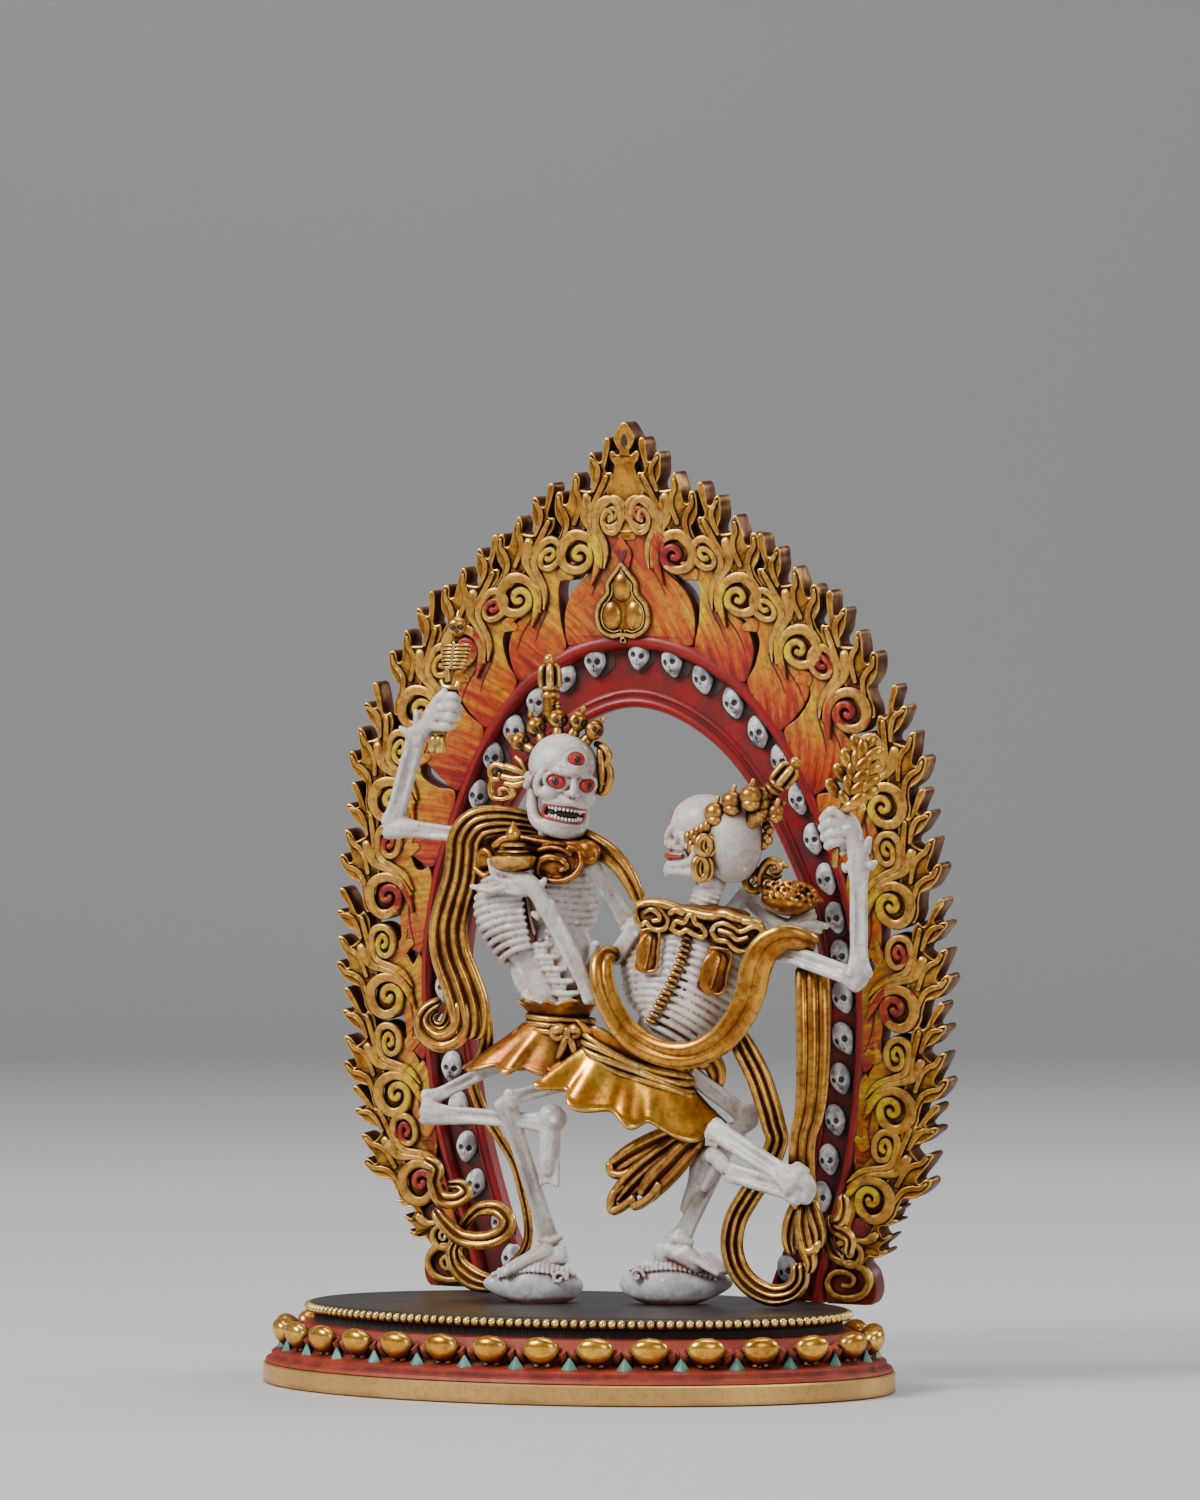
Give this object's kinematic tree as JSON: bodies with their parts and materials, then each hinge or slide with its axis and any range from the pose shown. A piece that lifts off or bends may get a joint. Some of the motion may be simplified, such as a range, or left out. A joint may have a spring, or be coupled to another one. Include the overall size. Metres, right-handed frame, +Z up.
{
  "type": "chitipati statue",
  "caption": "Painted brass miniature of two dancing skeletons on conches, on an oval lotus plinth, under a leaning openwork aureole of scrolling flames.",
  "frame": {"origin": "on the underside of the plinth, under the middle of the bounding box", "axes": "+Z up, +X to the right of a person who faces the statue, -Y towards that person"},
  "size_m": [0.1064, 0.068, 0.1476],
  "materials": {
    "plinth_paint": "satin red, black, teal and gold paint over cast brass, worn at the edges",
    "aureole_paint": "gold, yellow, orange and red paint over cast brass, dark in the recesses",
    "bone_paint": "white paint with a brown wash over cast brass, gold on the scarves and ornaments"
  },
  "bodies": {
    "root": {"plinth": "plinth_paint", "aureole": "aureole_paint", "male_dancer": "bone_paint", "female_dancer": "bone_paint"}
  },
  "joints": []
}
